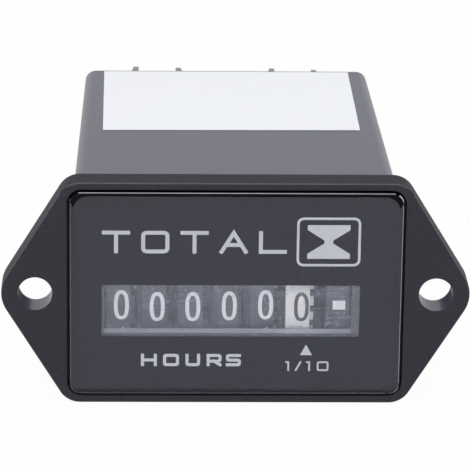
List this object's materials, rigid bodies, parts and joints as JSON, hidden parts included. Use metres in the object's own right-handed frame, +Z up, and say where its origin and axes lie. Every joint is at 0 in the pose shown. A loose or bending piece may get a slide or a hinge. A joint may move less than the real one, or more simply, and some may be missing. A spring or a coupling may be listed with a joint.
{
  "type": "hour meter",
  "caption": "Panel-mounted hour meter with a hexagonal flange, a windowed register of number wheels, a turning run indicator and rear screw terminals.",
  "frame": {"origin": "middle of the lens's front face, half way between the two screw holes", "axes": "+X to the right as seen from the front, +Y into the panel along the case, +Z up"},
  "size_m": [0.0594, 0.0651, 0.0296],
  "materials": {
    "black_moulding": "fine textured black moulding",
    "clear_lens": "clear polished moulding",
    "dial": "black with white print",
    "frame_plastic": "plain grey moulding",
    "bright_steel": "ground bright",
    "stator_steel": "punched sheet",
    "gear_plastic": "natural moulding",
    "copper_wire": "enamelled copper",
    "circuit_board": "green solder mask",
    "capacitor_sleeve": "blue sleeve",
    "component_black": "black moulding",
    "resistor_coat": "tan coat",
    "brass": "plain",
    "terminal_steel": "zinc plated",
    "label": "smooth white",
    "black_wheel": "black moulding with white digits",
    "white_wheel": "white moulding with dark digits",
    "magnet": "bonded magnet"
  },
  "bodies": {
    "case": {"housing": "black_moulding", "lens": "clear_lens", "dial": "dial", "movement_frame": "frame_plastic", "wheel_shaft": "bright_steel", "pinion_shaft": "bright_steel", "stator": "stator_steel", "coil_core": "stator_steel", "coil_bobbin": "gear_plastic", "coil_winding": "copper_wire", "coil_lead_left": "copper_wire", "coil_lead_right": "copper_wire", "circuit_board": "circuit_board", "capacitor": "capacitor_sleeve", "quartz_crystal": "bright_steel", "clock_chip": "component_black", "rectifier": "component_black", "resistor": "resistor_coat", "terminal_insert_left": "brass", "terminal_insert_right": "brass", "terminal_clamp_left": "terminal_steel", "terminal_clamp_right": "terminal_steel", "terminal_screw_left": "terminal_steel", "terminal_screw_right": "terminal_steel", "contact_strap_left": "brass", "contact_strap_right": "brass", "label": "label"},
    "number_wheel_1": {"number_wheel_1": "black_wheel"},
    "number_wheel_2": {"number_wheel_2": "black_wheel"},
    "number_wheel_3": {"number_wheel_3": "black_wheel"},
    "number_wheel_4": {"number_wheel_4": "black_wheel"},
    "number_wheel_5": {"number_wheel_5": "black_wheel"},
    "number_wheel_6": {"number_wheel_6": "white_wheel"},
    "indicator_wheel": {"indicator_wheel": "black_wheel"},
    "transfer_pinion_1": {"transfer_pinion_1": "gear_plastic"},
    "transfer_pinion_2": {"transfer_pinion_2": "gear_plastic"},
    "transfer_pinion_3": {"transfer_pinion_3": "gear_plastic"},
    "transfer_pinion_4": {"transfer_pinion_4": "gear_plastic"},
    "transfer_pinion_5": {"transfer_pinion_5": "gear_plastic"},
    "lay_gear": {"lay_gear": "gear_plastic"},
    "intermediate_gear": {"intermediate_gear": "gear_plastic"},
    "rotor": {"rotor": "magnet"}
  },
  "joints": [
    {"name": "number_wheel_6_spin", "type": "hinge", "parent": "case", "child": "number_wheel_6", "pos_m": [0, 0.0118, -0.0029], "axis": [-1, 0, 0], "continuous": true},
    {"name": "indicator_spin", "type": "hinge", "parent": "case", "child": "indicator_wheel", "pos_m": [0, 0.0118, -0.0029], "axis": [-1, 0, 0], "continuous": true},
    {"name": "intermediate_spin", "type": "hinge", "parent": "case", "child": "intermediate_gear", "pos_m": [0, 0.0208, -0.0029], "axis": [-1, 0, 0], "continuous": true},
    {"name": "rotor_spin", "type": "hinge", "parent": "case", "child": "rotor", "pos_m": [0, 0.0278, -0.0029], "axis": [-1, 0, 0], "continuous": true},
    {"name": "lay_spin", "type": "hinge", "parent": "case", "child": "lay_gear", "pos_m": [0, 0.01765, 0.00407], "axis": [-1, 0, 0], "continuous": true},
    {"name": "number_wheel_5_spin", "type": "hinge", "parent": "case", "child": "number_wheel_5", "pos_m": [0, 0.0118, -0.0029], "axis": [-1, 0, 0], "continuous": true},
    {"name": "transfer_pinion_5_spin", "type": "hinge", "parent": "case", "child": "transfer_pinion_5", "pos_m": [0, 0.01765, 0.00407], "axis": [-1, 0, 0], "continuous": true},
    {"name": "number_wheel_4_spin", "type": "hinge", "parent": "case", "child": "number_wheel_4", "pos_m": [0, 0.0118, -0.0029], "axis": [-1, 0, 0], "continuous": true},
    {"name": "transfer_pinion_4_spin", "type": "hinge", "parent": "case", "child": "transfer_pinion_4", "pos_m": [0, 0.01765, 0.00407], "axis": [-1, 0, 0], "continuous": true},
    {"name": "number_wheel_3_spin", "type": "hinge", "parent": "case", "child": "number_wheel_3", "pos_m": [0, 0.0118, -0.0029], "axis": [-1, 0, 0], "continuous": true},
    {"name": "transfer_pinion_3_spin", "type": "hinge", "parent": "case", "child": "transfer_pinion_3", "pos_m": [0, 0.01765, 0.00407], "axis": [-1, 0, 0], "continuous": true},
    {"name": "number_wheel_2_spin", "type": "hinge", "parent": "case", "child": "number_wheel_2", "pos_m": [0, 0.0118, -0.0029], "axis": [-1, 0, 0], "continuous": true},
    {"name": "transfer_pinion_2_spin", "type": "hinge", "parent": "case", "child": "transfer_pinion_2", "pos_m": [0, 0.01765, 0.00407], "axis": [-1, 0, 0], "continuous": true},
    {"name": "number_wheel_1_spin", "type": "hinge", "parent": "case", "child": "number_wheel_1", "pos_m": [0, 0.0118, -0.0029], "axis": [-1, 0, 0], "continuous": true},
    {"name": "transfer_pinion_1_spin", "type": "hinge", "parent": "case", "child": "transfer_pinion_1", "pos_m": [0, 0.01765, 0.00407], "axis": [-1, 0, 0], "continuous": true}
  ],
  "couplings": [
    {"joint": "indicator_spin", "follows": "number_wheel_6_spin", "ratio": 6},
    {"joint": "intermediate_spin", "follows": "number_wheel_6_spin", "ratio": -30},
    {"joint": "rotor_spin", "follows": "number_wheel_6_spin", "ratio": 180},
    {"joint": "lay_spin", "follows": "number_wheel_6_spin", "ratio": -2.5},
    {"joint": "number_wheel_5_spin", "follows": "number_wheel_6_spin", "ratio": 0.1},
    {"joint": "transfer_pinion_5_spin", "follows": "number_wheel_6_spin", "ratio": -0.25},
    {"joint": "number_wheel_4_spin", "follows": "number_wheel_6_spin", "ratio": 0.01},
    {"joint": "transfer_pinion_4_spin", "follows": "number_wheel_6_spin", "ratio": -0.025},
    {"joint": "number_wheel_3_spin", "follows": "number_wheel_6_spin", "ratio": 0.001},
    {"joint": "transfer_pinion_3_spin", "follows": "number_wheel_6_spin", "ratio": -0.0025},
    {"joint": "number_wheel_2_spin", "follows": "number_wheel_6_spin", "ratio": 0.0001},
    {"joint": "transfer_pinion_2_spin", "follows": "number_wheel_6_spin", "ratio": -0.00025},
    {"joint": "number_wheel_1_spin", "follows": "number_wheel_6_spin", "ratio": 0.00001},
    {"joint": "transfer_pinion_1_spin", "follows": "number_wheel_6_spin", "ratio": -0.000025}
  ]
}
